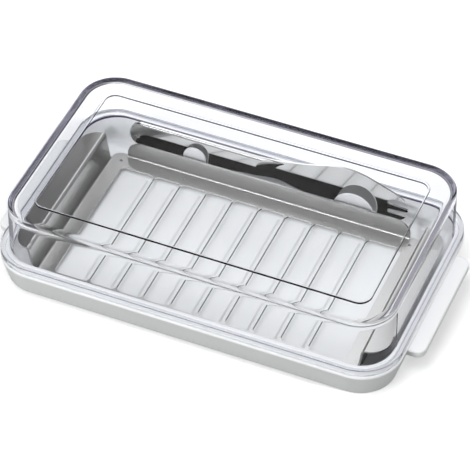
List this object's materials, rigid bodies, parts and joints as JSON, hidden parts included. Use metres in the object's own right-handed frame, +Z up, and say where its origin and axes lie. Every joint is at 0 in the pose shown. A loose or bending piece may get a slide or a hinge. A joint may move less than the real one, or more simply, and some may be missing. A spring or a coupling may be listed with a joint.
{
  "type": "wire butter slicer",
  "caption": "Storage case for a butter block: a tray with end tabs, a wire cutter frame with press handles, a small knife on rests, and a clear lid.",
  "frame": {"origin": "centre of the tray's underside", "axes": "+X along the case towards the knife's fork tip, +Y towards the knife, +Z up"},
  "size_m": [0.209, 0.1164, 0.0428],
  "materials": {
    "tray_plastic": "satin white",
    "cutter_steel": "brushed stainless sheet",
    "wire_steel": "drawn stainless wire",
    "knife_steel": "polished stainless",
    "clear_plastic": "clear, polished"
  },
  "bodies": {
    "tray": {"base_tray": "tray_plastic"},
    "cutter": {"cutter_frame": "cutter_steel", "cutting_wire_1": "wire_steel", "cutting_wire_2": "wire_steel", "cutting_wire_3": "wire_steel", "cutting_wire_4": "wire_steel", "cutting_wire_5": "wire_steel", "cutting_wire_6": "wire_steel", "cutting_wire_7": "wire_steel", "cutting_wire_8": "wire_steel", "cutting_wire_9": "wire_steel"},
    "knife": {"butter_knife": "knife_steel"},
    "lid": {"lid": "clear_plastic"}
  },
  "joints": [
    {"name": "lid_lift", "type": "slide", "parent": "tray", "child": "lid", "axis": [0, 0, 1], "range_m": [0, 0.08]},
    {"name": "cutter_lift", "type": "slide", "parent": "tray", "child": "cutter", "axis": [0, 0, 1], "range_m": [0, 0.017]},
    {"name": "knife_lift", "type": "slide", "parent": "tray", "child": "knife", "axis": [0, 0, 1], "range_m": [0, 0.009]}
  ]
}
